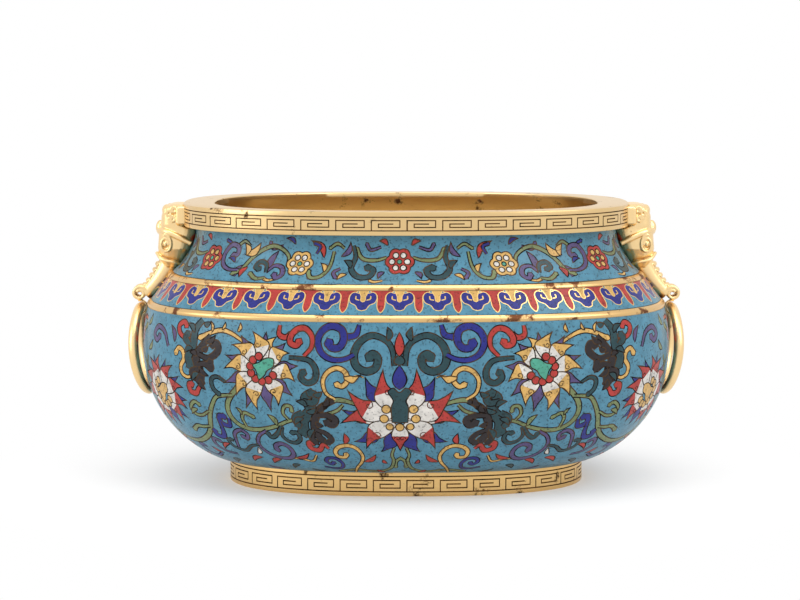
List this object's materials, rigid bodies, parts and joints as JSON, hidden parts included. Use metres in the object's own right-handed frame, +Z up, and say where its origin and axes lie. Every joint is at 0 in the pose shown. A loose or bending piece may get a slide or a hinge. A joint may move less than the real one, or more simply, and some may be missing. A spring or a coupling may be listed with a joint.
{
  "type": "two-handled incense burner",
  "caption": "Oval bronze incense burner with enamel panels, gilt fretted rim and foot, beast-mask handles and swinging rings.",
  "frame": {"origin": "centre of the foot's underside, on the surface the burner stands on", "axes": "+X to the right-hand handle along the long side, +Y to the back, +Z up"},
  "size_m": [0.3806, 0.24, 0.1917],
  "materials": {
    "cloisonne": "polished enamel in metal cells",
    "gilt": "fire-gilt bronze, lightly worn",
    "worn_gilt": "gilt bronze, worn and darkened"
  },
  "bodies": {
    "vessel": {"vessel_shell": "worn_gilt", "belly_enamel": "cloisonne", "shoulder_enamel": "cloisonne", "neck_enamel": "cloisonne", "lower_fillet": "gilt", "upper_fillet": "gilt", "rim_ring": "gilt", "foot_ring": "worn_gilt", "base_plate": "worn_gilt", "left_handle": "gilt", "right_handle": "gilt", "left_handle_rivet": "worn_gilt", "right_handle_rivet": "worn_gilt"},
    "left_ring": {"left_ring": "gilt"},
    "right_ring": {"right_ring": "gilt"}
  },
  "joints": [
    {"name": "right_ring_swing", "type": "hinge", "parent": "vessel", "child": "right_ring", "pos_m": [0.1848, 0, 0.118], "axis": [0, -1, 0], "range_deg": [0, 80]},
    {"name": "left_ring_swing", "type": "hinge", "parent": "vessel", "child": "left_ring", "pos_m": [-0.1848, 0, 0.118], "axis": [0, 1, 0], "range_deg": [0, 80]}
  ]
}
